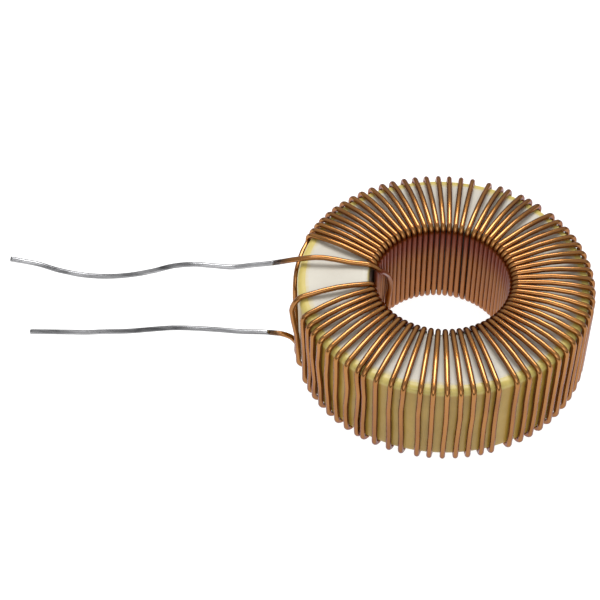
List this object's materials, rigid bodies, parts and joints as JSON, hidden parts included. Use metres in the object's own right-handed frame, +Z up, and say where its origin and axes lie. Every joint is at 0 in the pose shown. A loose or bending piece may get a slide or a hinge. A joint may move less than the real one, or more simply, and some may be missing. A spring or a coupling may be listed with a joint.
{
  "type": "toroidal inductor",
  "caption": "Ring-shaped inductor: a coated iron-powder ring wound all round with enamelled copper wire, with two bent, tinned wire leads.",
  "frame": {"origin": "on the axis of the ring, in the plane of the lowest wires, on which the part rests", "axes": "+Z up along the axis of the ring; the two leads run out along -X"},
  "size_m": [0.0676, 0.0344, 0.013],
  "materials": {
    "iron_powder": "matt pressed powder",
    "yellow_epoxy": "satin epoxy coat",
    "white_epoxy": "satin epoxy coat",
    "enamelled_copper": "glossy clear amber enamel over copper",
    "solder": "bright, slightly lumpy solder"
  },
  "bodies": {
    "root": {"core": "iron_powder", "yellow_coat": "yellow_epoxy", "white_coat": "white_epoxy", "winding": "enamelled_copper", "upper_lead_tin": "solder", "lower_lead_tin": "solder"}
  },
  "joints": []
}
